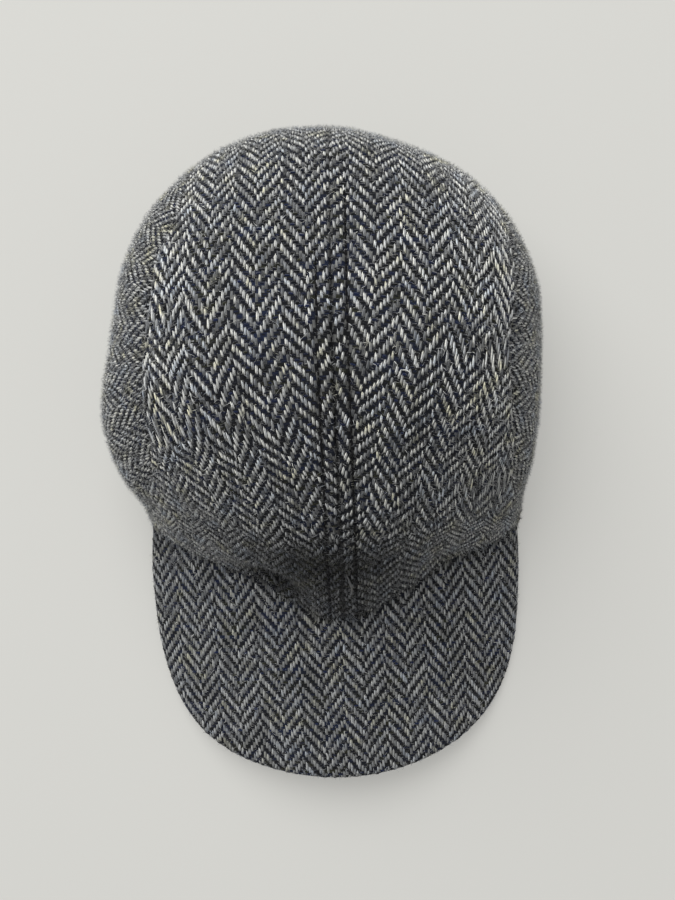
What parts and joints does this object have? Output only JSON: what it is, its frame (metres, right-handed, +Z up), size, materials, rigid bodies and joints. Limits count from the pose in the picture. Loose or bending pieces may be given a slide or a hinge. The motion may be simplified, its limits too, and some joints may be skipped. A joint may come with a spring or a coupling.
{
  "type": "wool cap with a peak",
  "caption": "Soft wool cap with a domed crown of sewn cloth panels and a short, stiff, arched peak at the front, lying crown up.",
  "frame": {"origin": "under the middle of the cap, on the surface it lies on", "axes": "+Z up, +Y to the back of the cap with the peak at -Y, +X to the right seen from above with the peak towards the viewer"},
  "size_m": [0.1942, 0.2956, 0.1115],
  "materials": {
    "crown_cloth": "matte woven wool, grey herringbone",
    "peak_cloth": "matte woven wool, grey herringbone"
  },
  "bodies": {
    "root": {"top_left": "crown_cloth", "top_right": "crown_cloth", "side_left": "crown_cloth", "side_right": "crown_cloth", "peak": "peak_cloth"}
  },
  "joints": []
}
